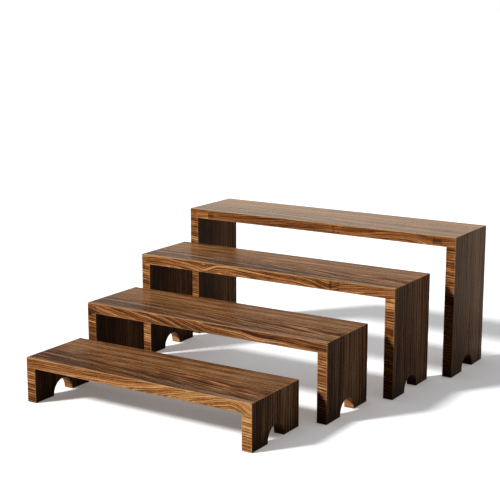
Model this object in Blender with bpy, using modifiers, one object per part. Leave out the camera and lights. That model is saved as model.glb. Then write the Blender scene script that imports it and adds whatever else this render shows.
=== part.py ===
"""Tiered display riser: a set of four walnut tiers of rising height that nest under one another.

Each tier is an inverted U of three boards, mitred at the corners and glued over hidden beech biscuits,
and stands on two side boards with an arched cut-out at the floor.

Units are metres and +Z is up. The origin is on the floor under the middle of the set. The lowest tier
stands at the front, towards -Y, and the tallest at the back.
"""

import math

import bmesh
import bpy
from mathutils import Matrix

# Boards and tiers
BOARD_THICKNESS = 0.020
TIER_DEPTH = 0.150
FIRST_TIER_HEIGHT = 0.084
SECOND_TIER_HEIGHT = 0.146
THIRD_TIER_HEIGHT = 0.208
FOURTH_TIER_HEIGHT = 0.275
WIDEST_TIER_WIDTH = 0.610
NEST_CLEARANCE = 0.0015  # air on each side of a tier inside the next taller one
EASED_EDGE = 0.001

# How the set stands
TIER_GAP = 0.030  # air between the back of one tier and the front of the next
SIDE_STEP = 0.016  # each tier stands this far to the left of the next taller one

# Arched cut-out in each side board
ARCH_WIDTH = 0.051
ARCH_SPRING_HEIGHT = 0.002  # straight jamb below the half round

# Biscuits across the mitres
BISCUITS_PER_JOINT = 2
BISCUIT_LENGTH = 0.047
BISCUIT_WIDTH = 0.015
BISCUIT_THICKNESS = 0.004
BISCUIT_BLUNT_END = 0.003
BISCUIT_INSET = 0.009  # from the inside corner to the biscuit's middle, along the mitre

# Clearances
GLUE_GAP = 0.0003  # between the two faces of a mitre
BISCUIT_CLEARANCE = 0.0003

# Fineness of curves
ARCH_STEPS = 28
BISCUIT_STEPS = 10
EASED_EDGE_STEPS = 2
SHARP_ANGLE = math.radians(40)  # edges that turn more than this are arrises, the rest are curves
WELD_DISTANCE = 1e-6

# Finishes: linear colour, roughness
WALNUT_TOP = ((0.165, 0.080, 0.038), 0.42)
WALNUT_SIDE = ((0.120, 0.062, 0.033), 0.48)
BEECH = ((0.600, 0.410, 0.250), 0.70)

TIER_HEIGHTS = (FIRST_TIER_HEIGHT, SECOND_TIER_HEIGHT, THIRD_TIER_HEIGHT, FOURTH_TIER_HEIGHT)
TIER_COUNT = len(TIER_HEIGHTS)
HANDS = {"left": -1, "right": 1}

MITRE_ANGLE = math.radians(45)
MITRE_LENGTH = BOARD_THICKNESS / math.cos(MITRE_ANGLE)
QUARTER_TURN = math.radians(90)
CUTTER_MARGIN = BOARD_THICKNESS  # how far a cutter runs past what it cuts


def empty_scene():
    for thing in list(bpy.data.objects):
        bpy.data.objects.remove(thing, do_unlink=True)


def new_collection(name):
    collection = bpy.data.collections.new(name)
    bpy.context.scene.collection.children.link(collection)
    return collection


def wood(name, finish):
    colour, roughness = finish
    material = bpy.data.materials.new(name)
    material.use_nodes = True
    shader = material.node_tree.nodes["Principled BSDF"]
    shader.inputs["Base Color"].default_value = (*colour, 1.0)
    shader.inputs["Roughness"].default_value = roughness
    shader.inputs["Metallic"].default_value = 0.0
    return material


def block_mesh(name, size):
    """A box of the given size, centred on its own origin."""
    solid = bmesh.new()
    bmesh.ops.create_cube(solid, size=1.0, matrix=Matrix.Diagonal((*size, 1.0)))
    mesh = bpy.data.meshes.new(name)
    solid.to_mesh(mesh)
    solid.free()
    return mesh


def outline_mesh(name, outline, thickness):
    """A flat outline in the XY plane, given thickness evenly to both sides."""
    curve = bpy.data.curves.new(name, "CURVE")
    curve.dimensions = "2D"
    curve.fill_mode = "BOTH"
    curve.extrude = thickness / 2
    spline = curve.splines.new("POLY")
    spline.points.add(len(outline) - 1)
    for point, (x, y) in zip(spline.points, outline):
        point.co = (x, y, 0.0, 1.0)
    spline.use_cyclic_u = True
    drawn = bpy.data.objects.new(name, curve)
    bpy.context.scene.collection.objects.link(drawn)
    mesh = bpy.data.meshes.new_from_object(drawn.evaluated_get(bpy.context.evaluated_depsgraph_get()))
    bpy.data.objects.remove(drawn, do_unlink=True)
    bpy.data.curves.remove(curve)

    solid = bmesh.new()
    solid.from_mesh(mesh)
    bmesh.ops.remove_doubles(solid, verts=solid.verts, dist=WELD_DISTANCE)
    bmesh.ops.recalc_face_normals(solid, faces=solid.faces)
    solid.to_mesh(mesh)
    solid.free()
    mesh.name = name
    mesh.shade_smooth()
    mesh.set_sharp_from_angle(angle=SHARP_ANGLE)
    return mesh


def place(name, mesh, collection, parent, location, rotation=(0.0, 0.0, 0.0)):
    thing = bpy.data.objects.new(name, mesh)
    collection.objects.link(thing)
    thing.parent = parent
    thing.location = location
    thing.rotation_euler = rotation
    return thing


def place_cutter(name, mesh, parent, location, rotation):
    cutter = place(name, mesh, CUTTERS, parent, location, rotation)
    cutter.hide_render = True
    cutter.display_type = "WIRE"
    return cutter


def place_piece(name, mesh, material, parent, location, rotation=(0.0, 0.0, 0.0)):
    mesh.materials.append(material)
    return place(name, mesh, PARTS, parent, location, rotation)


def cut(board, cutter):
    modifier = board.modifiers.new(cutter.name, "BOOLEAN")
    modifier.operation = "DIFFERENCE"
    modifier.solver = "EXACT"
    modifier.object = cutter


def ease_edges(board):
    modifier = board.modifiers.new("eased_edges", "BEVEL")
    modifier.width = EASED_EDGE
    modifier.segments = EASED_EDGE_STEPS
    modifier.limit_method = "ANGLE"
    modifier.angle_limit = SHARP_ANGLE


def arch_outline():
    """The cut-out seen from the side, with y = 0 on the floor: two short jambs under a half round."""
    radius = ARCH_WIDTH / 2
    outline = [(-radius, -CUTTER_MARGIN), (radius, -CUTTER_MARGIN)]
    for step in range(ARCH_STEPS + 1):
        turn = math.pi * step / ARCH_STEPS
        outline.append((radius * math.cos(turn), ARCH_SPRING_HEIGHT + radius * math.sin(turn)))
    return outline


def biscuit_outline(clearance):
    """Two shallow arcs that meet in blunt ends, grown all round by the clearance."""
    half_length = BISCUIT_LENGTH / 2 + clearance
    half_width = BISCUIT_WIDTH / 2 + clearance
    half_end = BISCUIT_BLUNT_END / 2 + clearance
    rise = half_width - half_end
    radius = (half_length**2 + rise**2) / (2 * rise)
    half_turn = math.asin(half_length / radius)
    upper = []
    for step in range(BISCUIT_STEPS + 1):
        turn = half_turn * (2 * step / BISCUIT_STEPS - 1)
        upper.append((radius * math.sin(turn), half_width - radius + radius * math.cos(turn)))
    lower = [(-x, -y) for x, y in upper]
    return upper + lower


def tier_width(tier):
    """Each tier clears the inside of the next taller one."""
    steps_down = TIER_COUNT - 1 - tier
    return WIDEST_TIER_WIDTH - steps_down * 2 * (BOARD_THICKNESS + NEST_CLEARANCE)


def tier_place(tier):
    """The point on the floor under the middle of a tier."""
    run = TIER_COUNT * TIER_DEPTH + (TIER_COUNT - 1) * TIER_GAP
    x = -SIDE_STEP * (TIER_COUNT - 1 - tier)
    y = -run / 2 + TIER_DEPTH / 2 + tier * (TIER_DEPTH + TIER_GAP)
    return x, y, 0.0


def along_mitre(width, height, hand, distance):
    """A point on a corner's mitre, measured from the inside corner up to the outside one."""
    across = BOARD_THICKNESS - distance * math.sin(MITRE_ANGLE)
    down = BOARD_THICKNESS - distance * math.cos(MITRE_ANGLE)
    return hand * (width / 2 - across), height - down


def mitre_cutter(name, stand, width, height, hand, side):
    """Takes away all that lies to one side of a mitre: side 1 is the side board's, side -1 the top's."""
    reach = MITRE_LENGTH + 2 * CUTTER_MARGIN
    mesh = block_mesh(name, (reach, TIER_DEPTH + 2 * CUTTER_MARGIN, reach))
    x, z = along_mitre(width, height, hand, MITRE_LENGTH / 2)
    shift = side * (reach / 2 - GLUE_GAP / 2)
    x += hand * shift * math.cos(MITRE_ANGLE)
    z -= shift * math.sin(MITRE_ANGLE)
    return place_cutter(name, mesh, stand, (x, 0.0, z), (0.0, hand * MITRE_ANGLE, 0.0))


def build_tier(tier):
    name = f"tier_{tier + 1}"
    width = tier_width(tier)
    height = TIER_HEIGHTS[tier]
    stand = place(f"{name}_stand", None, PARTS, None, tier_place(tier))

    top_mesh = block_mesh(f"{name}_top_board", (width, TIER_DEPTH, BOARD_THICKNESS))
    top_middle = (0.0, 0.0, height - BOARD_THICKNESS / 2)
    top = place_piece(f"{name}_top_board", top_mesh, TOP_WALNUT, stand, top_middle)
    ease_edges(top)

    arch_mesh = outline_mesh(f"{name}_arch", arch_outline(), width + 2 * CUTTER_MARGIN)
    upright = (QUARTER_TURN, 0.0, QUARTER_TURN)
    arch = place_cutter(f"{name}_arch", arch_mesh, stand, (0.0, 0.0, 0.0), upright)

    for side_name, hand in HANDS.items():
        corner = f"{name}_{side_name}"
        side_mesh = block_mesh(f"{corner}_side_board", (BOARD_THICKNESS, TIER_DEPTH, height))
        side_middle = (hand * (width - BOARD_THICKNESS) / 2, 0.0, height / 2)
        side = place_piece(f"{corner}_side_board", side_mesh, SIDE_WALNUT, stand, side_middle)
        cut(side, arch)
        ease_edges(side)

        cut(top, mitre_cutter(f"{corner}_mitre_on_top", stand, width, height, hand, 1))
        cut(side, mitre_cutter(f"{corner}_mitre_on_side", stand, width, height, hand, -1))

        biscuit_x, biscuit_z = along_mitre(width, height, hand, BISCUIT_INSET)
        across_mitre = (hand * MITRE_ANGLE, 0.0, QUARTER_TURN)
        slot_thickness = BISCUIT_THICKNESS + 2 * BISCUIT_CLEARANCE
        for place_in_row in range(BISCUITS_PER_JOINT):
            label = f"{corner}_biscuit_{place_in_row + 1}"
            biscuit_y = TIER_DEPTH * ((place_in_row + 0.5) / BISCUITS_PER_JOINT - 0.5)
            middle = (biscuit_x, biscuit_y, biscuit_z)

            biscuit_mesh = outline_mesh(label, biscuit_outline(0.0), BISCUIT_THICKNESS)
            place_piece(label, biscuit_mesh, BISCUIT_BEECH, stand, middle, across_mitre)

            slot_mesh = outline_mesh(f"{label}_slot", biscuit_outline(BISCUIT_CLEARANCE), slot_thickness)
            slot = place_cutter(f"{label}_slot", slot_mesh, stand, middle, across_mitre)
            cut(top, slot)
            cut(side, slot)


empty_scene()
PARTS = new_collection("tiered_display_riser")
CUTTERS = new_collection("cutters")
TOP_WALNUT = wood("walnut_top", WALNUT_TOP)
SIDE_WALNUT = wood("walnut_side", WALNUT_SIDE)
BISCUIT_BEECH = wood("beech_biscuit", BEECH)

for tier_number in range(TIER_COUNT):
    build_tier(tier_number)

bpy.context.view_layer.update()
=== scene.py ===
import math

import bpy
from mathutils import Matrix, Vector


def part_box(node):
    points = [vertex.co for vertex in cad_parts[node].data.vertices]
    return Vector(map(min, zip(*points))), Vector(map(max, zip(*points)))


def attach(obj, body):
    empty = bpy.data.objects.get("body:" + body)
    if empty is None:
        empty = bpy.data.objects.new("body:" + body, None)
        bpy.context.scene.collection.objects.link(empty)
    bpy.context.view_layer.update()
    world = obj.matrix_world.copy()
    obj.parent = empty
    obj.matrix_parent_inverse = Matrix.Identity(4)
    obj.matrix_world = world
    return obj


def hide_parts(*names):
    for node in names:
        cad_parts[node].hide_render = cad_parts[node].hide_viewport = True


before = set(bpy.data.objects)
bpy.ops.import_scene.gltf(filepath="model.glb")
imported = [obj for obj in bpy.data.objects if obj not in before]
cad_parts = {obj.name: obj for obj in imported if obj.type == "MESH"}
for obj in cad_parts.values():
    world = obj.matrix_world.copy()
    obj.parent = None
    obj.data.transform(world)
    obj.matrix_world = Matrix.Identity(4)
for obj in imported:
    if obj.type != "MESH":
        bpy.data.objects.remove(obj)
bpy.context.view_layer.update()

# Top boards
# The top of each tier is one planed walnut board with its grain running lengthwise under a thin oil
# finish. Its arrises are eased with sandpaper, and both ends are sawn at 45 degrees for the mitres.
TIERS = ("tier_1", "tier_2", "tier_3", "tier_4")
HANDS = {"left": -1, "right": 1}
EASED_ARRIS = 0.001
EASED_STEPS = 4
ARRIS_ANGLE = math.radians(40)
GLUE_LINE = 0.0001
BISCUIT_ROOM = 0.0002
WELD = 1e-6
MILLIMETRES = 1000.0


class Field:
    """A value that changes over a surface: sums on it add Math nodes, and node() adds any other kind."""

    def __init__(self, socket):
        self.socket = socket
        self.tree = socket.id_data

    def node(self, kind, settings, inputs, output=0):
        made = self.tree.nodes.new("ShaderNode" + kind)
        for name, value in settings.items():
            if name == "stops":
                elements = made.color_ramp.elements
                elements.remove(elements[1])
                elements[0].position, elements[0].color = value[0]
                for place, colour in value[1:]:
                    elements.new(place).color = colour
            elif name == "interpolation":
                made.color_ramp.interpolation = value
            else:
                setattr(made, name, value)
        for key, value in inputs.items():
            if isinstance(value, Field):
                self.tree.links.new(value.socket, made.inputs[key])
            else:
                made.inputs[key].default_value = value
        return Field(made.outputs[output])

    def maths(self, operation, *terms):
        return self.node("Math", {"operation": operation}, dict(enumerate(terms)))

    def __add__(self, other):
        return self.maths("ADD", self, other)

    def __radd__(self, other):
        return self.maths("ADD", other, self)

    def __sub__(self, other):
        return self.maths("SUBTRACT", self, other)

    def __rsub__(self, other):
        return self.maths("SUBTRACT", other, self)

    def __mul__(self, other):
        return self.maths("MULTIPLY", self, other)

    def __rmul__(self, other):
        return self.maths("MULTIPLY", other, self)

    def __truediv__(self, other):
        return self.maths("DIVIDE", self, other)

    def __rtruediv__(self, other):
        return self.maths("DIVIDE", other, self)

    def least(self, other):
        return self.maths("MINIMUM", self, other)

    def most(self, other):
        return self.maths("MAXIMUM", self, other)

    def rest(self):
        """What is left over whole numbers, so a rising value starts again at each one."""
        return self.maths("FRACT", self)

    def step(self, low, high):
        """0 at low and before it, 1 at high and past it, with a smooth change between them."""
        inputs = {"Value": self, "From Min": low, "From Max": high}
        return self.node("MapRange", {"interpolation_type": "SMOOTHSTEP"}, inputs)

    def curve(self, points):
        """A smooth line through (place, height) points."""
        start, end = points[0][0], points[-1][0]
        low = min(height for place, height in points)
        span = max(height for place, height in points) - low
        stops = []
        for place, height in points:
            share = (height - low) / span
            stops.append(((place - start) / (end - start), (share, share, share, 1.0)))
        settings = {"interpolation": "CARDINAL", "stops": stops}
        return low + span * self.node("ValToRGB", settings, {"Fac": (self - start) / (end - start)})

    def colours(self, points):
        """A colour from a row of (place, colour) points."""
        stops = [(place, (*colour, 1.0)) for place, colour in points]
        return self.node("ValToRGB", {"interpolation": "LINEAR", "stops": stops}, {"Fac": self})

    def mixed(self, start, end):
        """From one colour to another as this value goes from 0 to 1."""
        inputs = {0: self}
        for key, colour in ((6, start), (7, end)):
            inputs[key] = colour if isinstance(colour, Field) else (*colour, 1.0)
        return self.node("Mix", {"data_type": "RGBA"}, inputs, 2)

    def noise(self, along, across, below, detail=2.0, roughness=0.5):
        place = self.node("CombineXYZ", {}, {0: along, 1: across, 2: below})
        inputs = {"Vector": place, "Scale": 1.0, "Detail": detail, "Roughness": roughness}
        return self.node("TexNoise", {}, inputs)


def paint(red, green, blue):
    """A colour as it looks on a screen, from 0 to 255, in the linear numbers that a shader takes."""
    shares = [channel / 255 for channel in (red, green, blue)]
    return tuple(s / 12.92 if s <= 0.04045 else ((s + 0.055) / 1.055) ** 2.4 for s in shares)


def start_material(name):
    """A new material, its shader and the place on the board in metres."""
    material = bpy.data.materials.new(name)
    material.use_nodes = True
    shader = material.node_tree.nodes["Principled BSDF"]
    coordinates = material.node_tree.nodes.new("ShaderNodeTexCoord")
    return material, shader, Field(coordinates.outputs["Object"])


def millimetres_from(spot, corner):
    """How far along X, Y and Z a place lies from a corner."""
    offset = [-MILLIMETRES * c for c in corner]
    scale = (MILLIMETRES, MILLIMETRES, MILLIMETRES)
    moved = spot.node("Mapping", {}, {"Vector": spot, "Location": offset, "Scale": scale})
    return [moved.node("SeparateXYZ", {}, {0: moved}, axis) for axis in range(3)]


def rubbed_and_highlit_arris(spot, low, high):
    """1 on a board's arrises, where hands and dusters have rubbed the finish and a highlight is painted,
    and 0 away from them.
    """
    from_low = millimetres_from(spot, low)
    from_high = millimetres_from(spot, high)
    x, y, z = [near.least(far * -1.0) for near, far in zip(from_low, from_high)]
    to_arris = x.least(y).most(x.most(y).least(z))
    return 1.0 - to_arris.step(0.4, 2.4)


PORE_COLOUR = paint(38, 22, 12)
# The arrises' colour: rubbed finish, and in part a painted highlight.
RUBBED_AND_HIGHLIGHT_COLOUR = paint(190, 142, 98)
GRAIN_HEIGHT = 0.0002


def finish_walnut(shader, tone, colours, along, ring, below, rub_and_highlight, grain, gloss):
    """Lays growth rings, fibres and pores over a figure's tone and gives the wood its oil finish."""
    spacing, length, strength = grain
    wander = tone.noise(along / length, ring / (3.0 * spacing), below / 30.0)
    turn = (ring / spacing + wander * 1.5).rest()
    late_wood = turn.step(0.30, 0.90) - turn.step(0.90, 1.0)
    growth = tone.noise(along / length, ring / (0.6 * spacing), below / 25.0, 2.0, 0.6)
    fibre = tone.noise(along / (0.3 * length), ring / (0.28 * spacing), below / 8.0)
    fleck = tone.noise(along / 2.2, ring / 9.0, below / 9.0, 1.0)
    pore = tone.noise(along / 8.0, ring / 0.5, below / 5.0, 1.0).step(0.57, 0.72)
    cloud = tone.noise(along / 45.0, ring / 22.0, below / 22.0)
    streaks = (growth - 0.5) * 1.7 + (fibre - 0.5) * 1.5 + 0.19 - late_wood * wander * 1.1
    shade = tone + (streaks + (fleck - 0.5) * 0.4 + (cloud - 0.5) * 0.25) * strength
    brown, pale, share = colours
    colour = share.mixed(shade.colours(brown), shade.colours(pale))
    colour = (pore * 0.45).mixed(colour, PORE_COLOUR)
    # Arrises get a paler, duller colour: rubbed finish, and in part a painted highlight.
    colour = (rub_and_highlight * (0.25 + growth * 0.5)).mixed(colour, RUBBED_AND_HIGHLIGHT_COLOUR)
    index, matt, relief = gloss
    roughness = matt + pore * 0.20 + (fibre - 0.5) * 0.12 - rub_and_highlight * 0.05
    height = growth * 0.3 + fibre * 0.3 - pore * 0.5 - late_wood * 0.2
    bump = tone.node("Bump", {}, {"Height": height, "Strength": relief, "Distance": GRAIN_HEIGHT})
    shader.inputs["IOR"].default_value = index
    tone.tree.links.new(colour.socket, shader.inputs["Base Color"])
    tone.tree.links.new(roughness.socket, shader.inputs["Roughness"])
    tone.tree.links.new(bump.socket, shader.inputs["Normal"])


WARM_COLOURS = ((0.0, paint(54, 31, 16)), (0.25, paint(89, 53, 29)), (0.5, paint(123, 78, 44)),
                (0.75, paint(151, 102, 62)), (1.0, paint(182, 135, 92)))
GREY_COLOURS = ((0.0, paint(50, 33, 22)), (0.25, paint(83, 58, 42)), (0.5, paint(115, 83, 61)),
                (0.75, paint(147, 110, 83)), (1.0, paint(180, 145, 116)))
# Light and dark bands from the back edge of a top to its front, and how far they drift along it.
TOP_BANDS = ((0, 0.42), (6, 0.48), (10, 0.34), (15, 0.60), (24, 0.64), (30, 0.36), (36, 0.60),
             (46, 0.72), (56, 0.50), (66, 0.58), (78, 0.46), (88, 0.50), (95, 0.40), (101, 0.16),
             (108, 0.66), (113, 0.40), (120, 0.20), (128, 0.34), (135, 0.22), (143, 0.40), (150, 0.45))
TOP_DRIFT = ((-305, 0), (-190, 0), (-140, 3), (-90, 7), (-40, 12), (10, 18), (60, 24), (110, 28),
             (160, 31), (210, 33), (305, 36))
# How pale each top is all over, which on the fourth top is in part a painted sheen, and at its left
# front corner, which is a painted reflection, how grey it is there, its grain and its gloss. A grain is
# the width and the length of its streaks in millimetres and how strongly they show.
# A gloss is the finish's index of refraction, its roughness and how deep the grain can be felt. Each
# board comes from further along the plank than the one before it, by a shift in millimetres.
MIDDLE_TONE = 0.45
TOP_SHIFT = 700.0
TOP_BOARDS = {
    "tier_1": (-0.02, -0.06, 0.3, (5.0, 150.0, 1.1), (1.30, 0.18, 0.1)),
    "tier_2": (0.01, -0.02, 0.6, (5.0, 150.0, 1.05), (1.30, 0.18, 0.1)),
    "tier_3": (-0.03, 0.13, 1.0, (5.0, 150.0, 1.15), (1.155, 0.20, 0.1)),
    # The fourth top's paleness is in part a painted sheen.
    "tier_4": (0.12, 0.0, 1.0, (11.0, 280.0, 0.8), (1.435, 0.18, 0.05)),
}


def top_walnut(tier, number, low, high):
    material, shader, spot = start_material(f"{tier}_top_walnut")
    pale, left_reflection_paleness, grey, grain, gloss = TOP_BOARDS[tier]
    x, y, z = millimetres_from(spot, Vector(((low.x + high.x) / 2, high.y, high.z)))
    depth = y * -1.0
    along = x + number * TOP_SHIFT
    sway = spot.noise(along / 190.0, y / 60.0, z / 60.0, 1.0) - 0.5
    ripple = spot.noise(along / 36.0, y / 14.0, z / 14.0, 1.0) - 0.5
    ring = depth - x.curve(TOP_DRIFT) * depth.step(62, 122) + sway * 6.0 + ripple * 1.6
    turn = ((depth - x * 0.34 + sway * 8.0 + ripple * 3.0) / 13.0).rest()
    fan = turn.step(0.45, 0.88) - turn.step(0.88, 1.0)
    fan = fan * x.step(-40, 10) * depth.step(92, 103) * depth.step(146, 130)
    tone = MIDDLE_TONE + (ring.curve(TOP_BANDS) - MIDDLE_TONE - fan * 0.2) * grain[2] + pale
    # Painted highlight along the front arris, and painted shade along the back one.
    front_highlight_strip = depth.step(139, 147) * 0.22
    back_shade_strip = depth.step(7, 2) * 0.15
    right_front = x.step(40, 200) * depth.step(85, 120) * 0.14
    left_back = x.step(-20, -120) * depth.step(60, 20) * 0.08
    # Painted reflection: the left front corner is paler or darker by the finish's reflection there.
    left_front_reflection = x.step(-60, -140) * depth.step(50, 100) * left_reflection_paleness
    tone = tone + front_highlight_strip - back_shade_strip + right_front + left_back + left_front_reflection
    rub_and_highlight = rubbed_and_highlit_arris(spot, low, high)
    colours = WARM_COLOURS, GREY_COLOURS, ring.step(72, 108) * (grey + x.step(-60, 150) * (1.0 - grey))
    finish_walnut(shader, tone, colours, along, ring, z, rub_and_highlight, grain, gloss)
    return material


EDGE_COLOURS = ((0.0, paint(58, 31, 13)), (0.25, paint(97, 56, 27)), (0.5, paint(138, 85, 43)),
                (0.75, paint(169, 112, 63)), (1.0, paint(204, 153, 101)))
TAN_COLOURS = ((0.0, paint(92, 50, 18)), (0.25, paint(136, 86, 42)), (0.5, paint(171, 117, 65)),
               (0.75, paint(196, 146, 90)), (1.0, paint(222, 180, 126)))
# The figure on the front edge of each tier, with places in millimetres. It has how pale the edge is all
# over, how pale the left leg is against the right one, how strongly the streaks show, and how pale the
# left and the right arch are inside, which paints the light and the shade that fall in them. A second
# colour comes in over a stretch, up to a share, and a plain stretch has no bands. The line is one growth
# ring on the top board's edge, as height over the distance from the left end, and the bands lie above
# and below that ring. The drift is how pale the edge is along it. The leg bands go down the side boards'
# edges from the top; their dark values low down are painted shade near the floor and below the shadow's
# edge. A mark is a knot or a streak: its left and right ends, its upper and lower ends, and how pale it
# is. The last mark of the third tier lifts its left leg low down, against the leg bands' painted shade.
NOWHERE = (2000, 2100)
EDGE_FIGURES = {
    "tier_1": {
        "pale": -0.02, "left_leg": 0.0, "grain": 0.85, "arch": (0.3, 0.0),
        "second": (TAN_COLOURS, (120, 400), 0.8), "plain": NOWHERE,
        "line": ((0, 0), (100, 2), (160, 4), (240, 8), (300, 18), (345, 30), (400, 44), (430, 51),
                 (442, 53), (460, 48), (481, 38)),
        "drift": ((0, 0.02), (90, 0.04), (200, 0.0), (270, -0.06), (330, -0.01), (390, -0.01),
                  (481, 0.05)),
        "bands": ((-75, 0.5), (-70, 0.6), (-66, 0.15), (-63, 0.6), (-59, 0.25), (-56, 0.62),
                  (-50, 0.45), (-46, 0.66), (-41, 0.45), (-36, 0.62), (-30, 0.46), (-24, 0.64),
                  (-17, 0.70), (-14, 0.42), (-10, 0.46), (-7, 0.40), (-3, 0.52), (2, 0.56)),
        "leg": ((0, 0.45), (10, 0.55), (20, 0.48), (28, 0.56), (36, 0.46), (44, 0.64), (49, 0.34),
                (54, 0.46), (62, 0.31), (68, 0.47), (76, 0.28), (84, 0.48)),
        "marks": (),
    },
    "tier_2": {
        "pale": -0.04, "left_leg": -0.18, "grain": 0.9, "arch": (0.75, 0.75),
        "second": (GREY_COLOURS, (120, 220), 0.2), "plain": NOWHERE,
        "line": ((0, 0), (40, -9), (60, -12), (120, -21), (150, -25), (205, -39), (265, -56),
                 (285, -60), (350, -63), (385, -68), (440, -68), (470, -70.5), (524, -73)),
        "drift": ((0, -0.09), (100, -0.05), (300, -0.05), (360, 0.0), (430, 0.02), (490, 0.08),
                  (524, 0.08)),
        "bands": ((-22, 0.1), (-12, 0.05), (-8, 0.52), (-1, 0.62), (4, 0.46), (7, 0.50), (9.5, 0.18),
                  (12, 0.48), (16, 0.58), (20, 0.04), (23, 0.50), (26, 0.57), (30, 0.09), (33, 0.40),
                  (36, 0.43), (39, 0.07), (42, 0.42), (50, 0.46), (54.5, 0.72), (58, 0.0), (61, 0.12),
                  (68, 0.34), (74, 0.36)),
        "leg": ((0, 0.35), (11, 0.1), (17, 0.54), (25, 0.40), (33, 0.54), (42, 0.50), (52, 0.44),
                (58, 0.53), (66, 0.41), (80, 0.52), (94, 0.46), (104, 0.38), (112, 0.46),
                (124, 0.36), (136, 0.18), (146, 0.08)),
        "marks": ((-2, 20, 1, 10, -0.12), (-2, 20, 18, 33, 0.08)),
    },
    "tier_3": {
        "pale": 0.0, "left_leg": -0.04, "grain": 1.0, "arch": (0.65, -0.15),
        "second": (TAN_COLOURS, NOWHERE, 0.0), "plain": (436, 458),
        "line": ((0, -3), (25, -2), (60, -2), (80, -5), (120, -9), (138, -12), (150, -15), (162, -12),
                 (180, -5.5), (196, -3.5), (216, -3), (260, -7), (320, -10), (360, -11), (400, -16),
                 (430, -25), (456, -20), (500, -13), (567, -4)),
        "drift": ((0, -0.04), (40, -0.04), (110, -0.02), (250, 0.06), (320, -0.08), (390, 0.0),
                  (567, 0.0)),
        "bands": ((-20, 0.45), (-16, 0.35), (-12, 0.55), (-9, 0.32), (-6, 0.58), (-3, 0.28), (0, 0.92),
                  (2, 0.40), (5, 0.20), (9, 0.40), (13, 0.20), (20, 0.40)),
        "leg": ((0, 0.45), (20, 0.47), (26, 0.52), (32, 0.82), (40, 0.60), (46, 0.42), (52, 0.44),
                (57, 0.28), (64, 0.48), (72, 0.38), (80, 0.12), (92, 0.40), (116, 0.46), (140, 0.44),
                (152, 0.56), (162, 0.34), (175, 0.42), (188, 0.20), (208, 0.08)),
        # The last mark lifts the left leg low down, against the leg bands' painted shade.
        "marks": ((432, 438, -1, 21, -0.34), (451, 453, -1, 21, -0.25), (147, 155, -1, 5, 0.30),
                  (440, 451, -1, 21, -0.08), (-2, 22, 26, 34, -0.27), (-2, 22, 156, 210, 0.25)),
    },
    "tier_4": {
        "pale": -0.09, "left_leg": 0.04, "grain": 0.7, "arch": (0.3, -0.1),
        "second": (TAN_COLOURS, NOWHERE, 0.0), "plain": NOWHERE,
        "line": ((0, 0), (46, 2), (100, 4), (200, 11), (300, 18), (345, 20), (380, 19), (405, 20),
                 (440, 25), (470, 28), (495, 29.5), (530, 27), (558, 20), (575, 20), (610, 24)),
        "drift": ((0, 0.02), (40, 0.02), (115, -0.01), (190, -0.05), (265, -0.10), (345, 0.10),
                  (420, 0.03), (500, -0.02), (610, 0.08)),
        "bands": ((-50, 0.5), (-44, 0.5), (-40, 0.68), (-37, 0.42), (-34, 0.55), (-30, 0.36),
                  (-26, 0.40), (-22, 0.52), (-18, 0.48), (-15, 0.30), (-11, 0.50), (-6, 0.42), (0, 0.5)),
        "leg": ((0, 0.5), (18, 0.34), (24, 0.26), (30, 0.54), (38, 0.43), (44, 0.50), (51, 0.36),
                (57, 0.32), (63, 0.70), (70, 0.40), (77, 0.48), (88, 0.36), (100, 0.62), (112, 0.45),
                (124, 0.2), (134, 0.5), (150, 0.4), (170, 0.46), (205, 0.48), (240, 0.48), (275, 0.2)),
        "marks": ((16, 46, 7, 21, 0.26), (46, 60, 8, 17, -0.18), (563, 581, 5, 16, -0.22),
                  (563, 566, -1, 21, -0.12), (345, 349, 4, 8, -0.40), (345, 350, 11, 15, -0.35),
                  (356, 360, 15, 19, -0.35), (366, 440, 3, 9, -0.16), (-2, 18, 11, 30, 0.17)),
    },
}
EDGE_SHIFT = 900.0
EDGE_STREAKS = (3.4, 110.0)
EDGE_GLOSS = (1.12, 0.30, 0.2)
LEG_GRAIN = 1.0
LEG_WIDTH = 20.0


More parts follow.
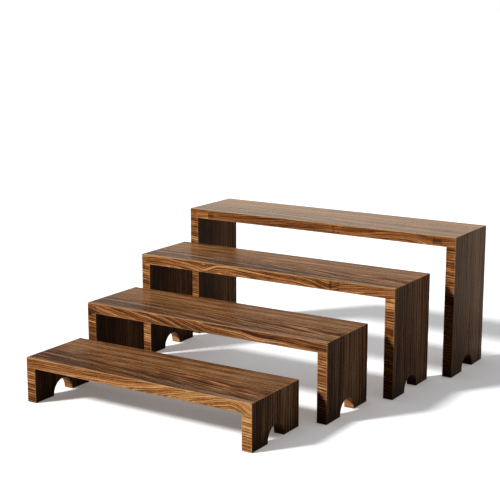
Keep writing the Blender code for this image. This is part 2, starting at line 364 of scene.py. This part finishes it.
def edge_walnut(tier, number, piece, tier_low, tier_high, low, high):
    material, shader, spot = start_material(f"{piece}_edge_walnut")
    figure = EDGE_FIGURES[tier]
    width = MILLIMETRES * (tier_high.x - tier_low.x)
    height = MILLIMETRES * (tier_high.z - tier_low.z)
    x, y, z = millimetres_from(spot, Vector((tier_low.x, tier_low.y, tier_high.z)))
    depth = z * -1.0
    along = x + number * EDGE_SHIFT
    sway = spot.noise(along / 70.0, z / 26.0, y / 60.0, 1.0) - 0.5
    ripple = spot.noise(along / 20.0, z / 8.0, y / 30.0, 1.0) - 0.5
    ring = z - x.curve(figure["line"]) + sway * 2.2 + ripple * 0.8
    strip = ring.curve(figure["bands"]) + x.curve(figure["drift"])
    strip = strip + (MIDDLE_TONE - strip) * x.step(*figure["plain"]) * 0.8
    on_right = x.step(0.49 * width, 0.51 * width)
    leg_depth = depth - (x - on_right * (width - LEG_WIDTH)) * 0.08 + sway * 3.0 + ripple * 1.5
    # The leg bands are grain, and their dark values low down are painted shade.
    leg = leg_depth.curve(figure["leg"]) * 1.4 - 0.18 + (1.0 - on_right) * figure["left_leg"]
    on_leg = depth.step(17, 24)
    tone = strip * (1.0 - on_leg) + leg * on_leg + figure["pale"]
    for left, right, upper, lower, change in figure["marks"]:
        place = x + ripple * 3.0
        level = depth + ripple * 4.0
        across = place.step(left - 1.2, left + 1.2) * place.step(right + 1.2, right - 1.2)
        down = level.step(upper - 2.0, upper + 2.0) * level.step(lower + 2.0, lower - 2.0)
        tone = tone + across * down * change
    # Painted light and shade inside the arches, raised or lowered on each side.
    in_arch = y.step(42, 48) * y.step(108, 102) * depth.step(height - 38, height - 32)
    left_arch, right_arch = figure["arch"]
    tone = tone + in_arch * (left_arch + on_right * (right_arch - left_arch))
    rub_and_highlight = rubbed_and_highlit_arris(spot, low, high)
    second, stretch, share = figure["second"]
    colours = EDGE_COLOURS, second, x.step(*stretch) * (1.0 - in_arch) * share
    lines = ring * (1.0 - on_leg) - leg_depth * on_leg * 0.7
    strength = figure["grain"] * (1.0 - on_leg) + LEG_GRAIN * on_leg * (1.0 - in_arch * 0.5)
    grain = (*EDGE_STREAKS, strength)
    finish_walnut(shader, tone, colours, along, lines, y, rub_and_highlight, grain, EDGE_GLOSS)
    return material


def planed_block(name, low, high):
    """A block of walnut planed to the size of its box."""
    bpy.ops.object.select_all(action="DESELECT")
    bpy.ops.mesh.primitive_cube_add(size=1.0, location=(low + high) / 2)
    block = bpy.context.object
    block.name = name
    block.data.name = name
    block.scale = high - low
    bpy.ops.object.transform_apply(location=True, rotation=True, scale=True)
    return block


def choose(board):
    """Selects one board alone, ready for the next tool."""
    bpy.ops.object.select_all(action="DESELECT")
    board.select_set(True)
    bpy.context.view_layer.objects.active = board


def work(board, kind, **settings):
    """Adds a modifier to a board and applies it."""
    modifier = board.modifiers.new(kind.lower(), kind)
    for name, value in settings.items():
        setattr(modifier, name, value)
    choose(board)
    bpy.ops.object.modifier_apply(modifier=modifier.name)


def ease_arrises(board):
    work(board, "BEVEL", width=EASED_ARRIS, segments=EASED_STEPS, limit_method="ANGLE",
         angle_limit=ARRIS_ANGLE)


def saw(board, place, waste):
    """Saws the board along a plane: what lies on the waste side falls away."""
    choose(board)
    bpy.ops.object.mode_set(mode="EDIT")
    bpy.ops.mesh.select_all(action="SELECT")
    bpy.ops.mesh.bisect(plane_co=place, plane_no=waste, use_fill=True, clear_outer=True)
    bpy.ops.object.mode_set(mode="OBJECT")


def cut_away(board, cutter):
    work(board, "BOOLEAN", operation="DIFFERENCE", solver="EXACT", object=cutter)
    bpy.data.objects.remove(cutter)


def mitre_biscuits(tier, hand):
    """The front and the back biscuit of one mitre."""
    return [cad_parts[f"{tier}_{hand}_biscuit_{number}"] for number in (1, 2)]


def cut_biscuit_slots(board, tier, hand):
    """Cuts a slot for each biscuit of a mitre, a little larger than the biscuit."""
    for biscuit in mitre_biscuits(tier, hand):
        cutter = biscuit.copy()
        cutter.data = biscuit.data.copy()
        cutter.parent = None
        bpy.context.scene.collection.objects.link(cutter)
        choose(cutter)
        bpy.ops.object.mode_set(mode="EDIT")
        bpy.ops.mesh.select_all(action="SELECT")
        bpy.ops.mesh.remove_doubles(threshold=WELD)
        bpy.ops.transform.shrink_fatten(value=BISCUIT_ROOM)
        bpy.ops.object.mode_set(mode="OBJECT")
        cut_away(board, cutter)


def tier_block(tier):
    """The box that a whole tier fills, and the thickness of its boards."""
    left_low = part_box(f"{tier}_left_side_board")[0]
    right_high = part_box(f"{tier}_right_side_board")[1]
    top_low, top_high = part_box(f"{tier}_top_board")
    low = Vector((left_low.x, top_low.y, left_low.z))
    high = Vector((right_high.x, top_high.y, top_high.z))
    return low, high, top_high.z - top_low.z


# A surface faces along an axis when its normal leans less than 45 degrees away from it.
FACING = 0.71


def finish_board(board, face, edge, across):
    """Puts one walnut on a board's two faces and another on its edges, and smooths its eased arrises."""
    board.data.materials.append(face)
    board.data.materials.append(edge)
    for polygon in board.data.polygons:
        polygon.material_index = 0 if across(polygon.normal) else 1
    choose(board)
    bpy.ops.object.shade_smooth_by_angle(angle=ARRIS_ANGLE)
    work(board, "WEIGHTED_NORMAL", keep_sharp=True)


for number, tier in enumerate(TIERS):
    low, high, thickness = tier_block(tier)
    board_low = Vector((low.x, low.y, high.z - thickness))
    name = f"{tier}_walnut_top"
    top = planed_block(name, board_low, high)
    ease_arrises(top)
    for hand, side in HANDS.items():
        corner = Vector((low.x if side < 0 else high.x, 0.0, high.z))
        waste = Vector((side, 0.0, -1.0)).normalized()
        saw(top, corner - waste * GLUE_LINE / 2, waste)
        cut_biscuit_slots(top, tier, hand)
    face = top_walnut(tier, number, board_low, high)
    edge = edge_walnut(tier, number, name, low, high, board_low, high)
    finish_board(top, face, edge, lambda normal: abs(normal.y) < FACING)
    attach(top, tier)
    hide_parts(f"{tier}_top_board")

# Biscuits
# Two biscuits lock each mitre: lens-shaped slips of pressed beech, glued into slots in both boards,
# where they swell and hold. Their grain lies aslant so that they don't split, and none of them shows.
BEECH_COLOURS = ((0.0, paint(150, 104, 66)), (0.4, paint(196, 150, 104)), (0.7, paint(214, 172, 126)),
                 (1.0, paint(230, 194, 152)))
RAY_COLOUR = paint(136, 88, 54)
BEECH_RELIEF = 0.3
BISCUIT_SLANT = (0.0, math.radians(45), math.radians(35))


def pressed_beech():
    material, shader, spot = start_material("pressed_beech")
    turned = spot.node("Mapping", {}, {"Vector": spot, "Rotation": BISCUIT_SLANT})
    along, across, below = millimetres_from(turned, Vector((0.0, 0.0, 0.0)))
    fibre = spot.noise(along / 9.0, across / 0.7, below / 0.7, 3.0)
    cloud = spot.noise(along / 14.0, across / 5.0, below / 5.0)
    ray = spot.noise(along / 2.4, across / 0.35, below / 1.1, 1.0).step(0.60, 0.72)
    colour = (fibre * 0.7 + cloud * 0.5 - 0.05).colours(BEECH_COLOURS)
    colour = (ray * 0.6).mixed(colour, RAY_COLOUR)
    height = fibre - ray * 0.4
    bump = spot.node("Bump", {}, {"Height": height, "Strength": BEECH_RELIEF, "Distance": GRAIN_HEIGHT})
    spot.tree.links.new(colour.socket, shader.inputs["Base Color"])
    spot.tree.links.new((0.62 + fibre * 0.2).socket, shader.inputs["Roughness"])
    spot.tree.links.new(bump.socket, shader.inputs["Normal"])
    return material


beech = pressed_beech()
for tier in TIERS:
    for hand in HANDS:
        for biscuit in mitre_biscuits(tier, hand):
            for slot in biscuit.material_slots:
                slot.material = beech

# Side boards
# Each tier stands on two walnut boards with upright grain, mitred to the top. A half-round arch with
# short jambs is sawn out of the bottom edge, which leaves a foot at the front and one at the back.
ARCH_RADIUS = 0.0255
ARCH_SPRING = 0.002
ARCH_SIDES = 96
# Light and dark bands from the front edge of a side board to its back.
SIDE_BANDS = ((0, 0.36), (8, 0.29), (14, 0.14), (27, 0.14), (33, 0.30), (43, 0.24), (48, 0.08),
              (56, 0.34), (72, 0.49), (85, 0.50), (100, 0.83), (110, 0.79), (116, 0.47), (121, 0.76),
              (128, 0.60), (133, 0.40), (140, 0.54), (145, 0.32), (150, 0.44))
# The streaks' width and length, how strongly they show on the left and the right boards, the finish,
# and then how pale each board is, where the right boards' extra paleness is painted light and
# reflection on their shaded outer faces, and the index of refraction of its finish.
SIDE_SHIFT = 900.0
HAND_SHIFT = 400.0
SIDE_STREAKS = (8.0, 260.0)
SIDE_GRAIN = {"left": 0.55, "right": 1.0}
SIDE_ROUGHNESS = 0.38
SIDE_RELIEF = 0.2
# The right boards' extra paleness is painted light on their shaded outer faces.
SIDE_BOARDS = {
    "tier_1": {"left": (0.0, 1.11), "right": (0.08, 1.09)},
    "tier_2": {"left": (0.0, 1.10), "right": (0.10, 1.095)},
    "tier_3": {"left": (0.0, 1.10), "right": (0.10, 1.10)},
    "tier_4": {"left": (0.0, 1.11), "right": (0.12, 1.125)},
}


def side_walnut(tier, number, hand, low, high):
    material, shader, spot = start_material(f"{tier}_{hand}_side_walnut")
    pale, index = SIDE_BOARDS[tier][hand]
    x, y, z = millimetres_from(spot, low)
    along = z + (number * SIDE_SHIFT + HANDS[hand] * HAND_SHIFT)
    sway = spot.noise(along / 120.0, y / 40.0, x / 60.0, 1.0) - 0.5
    ripple = spot.noise(along / 40.0, y / 12.0, x / 14.0, 1.0) - 0.5
    ring = y + sway * 9.0 + ripple * 2.0
    # Painted shade: darker towards the floor, and more so at the front foot.
    foot_shade = z.step(28, 0)
    front_foot_shade = z.step(54, 6) * y.step(60, 20)
    tone = ring.curve(SIDE_BANDS) + pale - foot_shade * 0.5 - front_foot_shade * 0.12
    rub_and_highlight = rubbed_and_highlit_arris(spot, low, high)
    colours = WARM_COLOURS, GREY_COLOURS, 0.6 - y.step(90, 140) * 0.2
    grain = (*SIDE_STREAKS, SIDE_GRAIN[hand])
    gloss = (index, SIDE_ROUGHNESS, SIDE_RELIEF)
    finish_walnut(shader, tone, colours, along, ring, x, rub_and_highlight, grain, gloss)
    return material


def saw_arch(board, low, high):
    """Saws the arch with a round cutter whose lower half is drawn down past the floor."""
    middle = (low + high) / 2
    bpy.ops.object.select_all(action="DESELECT")
    bpy.ops.mesh.primitive_cylinder_add(
        vertices=ARCH_SIDES, radius=ARCH_RADIUS, depth=3 * (high.x - low.x),
        location=(middle.x, middle.y, ARCH_SPRING), rotation=(0.0, math.radians(90), 0.0))
    cutter = bpy.context.object
    bpy.ops.object.transform_apply(location=True, rotation=True, scale=True)
    bpy.ops.object.mode_set(mode="EDIT")
    bpy.ops.mesh.select_mode(type="VERT")
    bpy.ops.mesh.select_all(action="DESELECT")
    bpy.ops.object.mode_set(mode="OBJECT")
    for vertex in cutter.data.vertices:
        vertex.select = vertex.co.z < ARCH_SPRING - WELD
    bpy.ops.object.mode_set(mode="EDIT")
    bpy.ops.transform.translate(value=(0.0, 0.0, -ARCH_RADIUS))
    bpy.ops.object.mode_set(mode="OBJECT")
    cut_away(board, cutter)


for number, tier in enumerate(TIERS):
    low, high, thickness = tier_block(tier)
    for hand, side in HANDS.items():
        outer = low.x if side < 0 else high.x
        inner = outer - side * thickness
        board_low = Vector((min(inner, outer), low.y, low.z))
        board_high = Vector((max(inner, outer), high.y, high.z))
        name = f"{tier}_walnut_{hand}_side"
        board = planed_block(name, board_low, board_high)
        saw_arch(board, board_low, board_high)
        ease_arrises(board)
        corner = Vector((outer, 0.0, high.z))
        waste = Vector((-side, 0.0, 1.0)).normalized()
        saw(board, corner - waste * GLUE_LINE / 2, waste)
        cut_biscuit_slots(board, tier, hand)
        face = side_walnut(tier, number, hand, board_low, board_high)
        edge = edge_walnut(tier, number, name, low, high, board_low, board_high)
        finish_board(board, face, edge, lambda normal: abs(normal.x) > FACING)
        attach(board, tier)
        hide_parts(f"{tier}_{hand}_side_board")

# Floor
# A plain white studio floor. The camera and the finish see it bright, with the tiers' shadows on it,
# and close under the tiers a painted shade, warm where it paints light bounced from the wood. It
# throws only a little light back at the wood.
FLOOR_SIZE = 80.0
FLOOR_DROP = 0.0002
FLOOR_WHITE = (0.95, 0.95, 0.95)
FLOOR_MIRRORED = (0.88, 0.75, 0.61)
FLOOR_DIM = (0.17, 0.17, 0.17)
# The near glows are a painted shade under the tiers, tinted warm as painted light bounced from the wood.
NEAR_GLOW = (0.14, 0.121, 0.108)
OPEN_GLOW = (0.43, 0.43, 0.435)
NEAR_GLOW_MIRRORED = (0.235, 0.2, 0.164)
OPEN_GLOW_MIRRORED = (0.41, 0.349, 0.287)
UNDER_REACH = 0.2
UNDER_SAMPLES = 8


def looking_rays(tree):
    """1 where the camera looks, and 1 where the finish mirrors."""
    path = tree.nodes.new("ShaderNodeLightPath")
    return Field(path.outputs["Is Camera Ray"]), Field(path.outputs["Is Glossy Ray"])


bpy.ops.object.select_all(action="DESELECT")
bpy.ops.mesh.primitive_plane_add(size=FLOOR_SIZE, location=(0.0, 0.0, -FLOOR_DROP))
floor = bpy.context.object
floor.name = "floor"
floor_paint = bpy.data.materials.new("floor_paint")
floor_paint.use_nodes = True
tree = floor_paint.node_tree
tree.nodes.clear()
camera_ray, glossy_ray = looking_rays(tree)
# Painted shade: the floor glows less where the tiers hang close over it.
open_sky = camera_ray.node("AmbientOcclusion", {"samples": UNDER_SAMPLES}, {"Distance": UNDER_REACH}, 1)
glow = glossy_ray.mixed(open_sky.mixed(NEAR_GLOW, OPEN_GLOW),
                        open_sky.mixed(NEAR_GLOW_MIRRORED, OPEN_GLOW_MIRRORED))
lit = camera_ray.node("BsdfDiffuse", {}, {"Color": glossy_ray.mixed(FLOOR_WHITE, FLOOR_MIRRORED)})
glowing = camera_ray.node("Emission", {}, {"Color": glow, "Strength": 1.0})
bright = camera_ray.node("AddShader", {}, {0: lit, 1: glowing})
dim = camera_ray.node("BsdfDiffuse", {}, {"Color": (*FLOOR_DIM, 1.0)})
shown = camera_ray.node("MixShader", {}, {0: camera_ray.most(glossy_ray), 1: dim, 2: bright})
output = tree.nodes.new("ShaderNodeOutputMaterial")
tree.links.new(shown.socket, output.inputs["Surface"])
floor.data.materials.append(floor_paint)

# Lamp
# One hard studio lamp stands high on the left, in front of the tiers, and throws their shadows to the
# right and back. Its face is a few degrees wide, so the shadows are soft at their far ends.
LAMP_TRAVEL = Vector((0.78, 1.0, -0.88))
LAMP_STRENGTH = 4.73
LAMP_SPREAD = math.radians(8.7)
bpy.ops.object.light_add(type="SUN", rotation=LAMP_TRAVEL.to_track_quat("-Z", "Y").to_euler())
lamp = bpy.context.object
lamp.name = "lamp"
lamp.data.energy = LAMP_STRENGTH
lamp.data.angle = LAMP_SPREAD

# Backdrop
# White to the camera. The finish mirrors it warm and only low down, as it ends above the tiers, and
# the wood gets a weak fill from it, a little stronger from the right.
BACKDROP_WHITE = (1.0, 1.0, 1.0)
BACKDROP_MIRRORED = (1.0, 0.88, 0.74)
BACKDROP_TOP = (0.251, 0.17)
MIRRORED_ABOVE = 0.02
FILL = 0.048
FILL_FROM_RIGHT = 0.15
RIGHT = (0.8, 0.6)
DARK = (0.0, 0.0, 0.0)
world = bpy.data.worlds.new("backdrop")
bpy.context.scene.world = world
world.use_nodes = True
tree = world.node_tree
tree.nodes.clear()
camera_ray, glossy_ray = looking_rays(tree)
direction = Field(tree.nodes.new("ShaderNodeTexCoord").outputs["Generated"])
x, y, z = [direction.node("SeparateXYZ", {}, {0: direction}, axis) for axis in range(3)]
from_right = (x * RIGHT[0] + y * RIGHT[1]).most(0.0)
fill = (FILL + from_right * from_right * FILL_FROM_RIGHT).mixed(DARK, BACKDROP_WHITE)
mirrored_share = MIRRORED_ABOVE + z.step(*BACKDROP_TOP) * (1.0 - MIRRORED_ABOVE)
mirrored = mirrored_share.mixed(DARK, BACKDROP_MIRRORED)
light = camera_ray.mixed(glossy_ray.mixed(fill, mirrored), BACKDROP_WHITE)
shown = camera_ray.node("Background", {}, {"Color": light, "Strength": 1.0})
output = tree.nodes.new("ShaderNodeOutputWorld")
tree.links.new(shown.socket, output.inputs["Surface"])

# Camera
# It looks down on the tiers from the right, from the place and through the lens that the straight edges
# in the photograph give, with everything in focus.
CAMERA_AZIMUTH = math.radians(32.407)
CAMERA_ELEVATION = math.radians(11.837)
CAMERA_PLACE = (1.1941, -1.9287, 0.7274)
CAMERA_LENS = 88.708
CAMERA_FILM = 36.0
back = Vector((math.sin(CAMERA_AZIMUTH) * math.cos(CAMERA_ELEVATION),
               -math.cos(CAMERA_AZIMUTH) * math.cos(CAMERA_ELEVATION),
               math.sin(CAMERA_ELEVATION)))
bpy.ops.object.camera_add(location=CAMERA_PLACE, rotation=(-back).to_track_quat("-Z", "Y").to_euler())
camera = bpy.context.object
camera.name = "camera"
camera.data.sensor_width = CAMERA_FILM
camera.data.lens = CAMERA_LENS
bpy.context.scene.camera = camera
bpy.context.scene.view_settings.view_transform = "Standard"
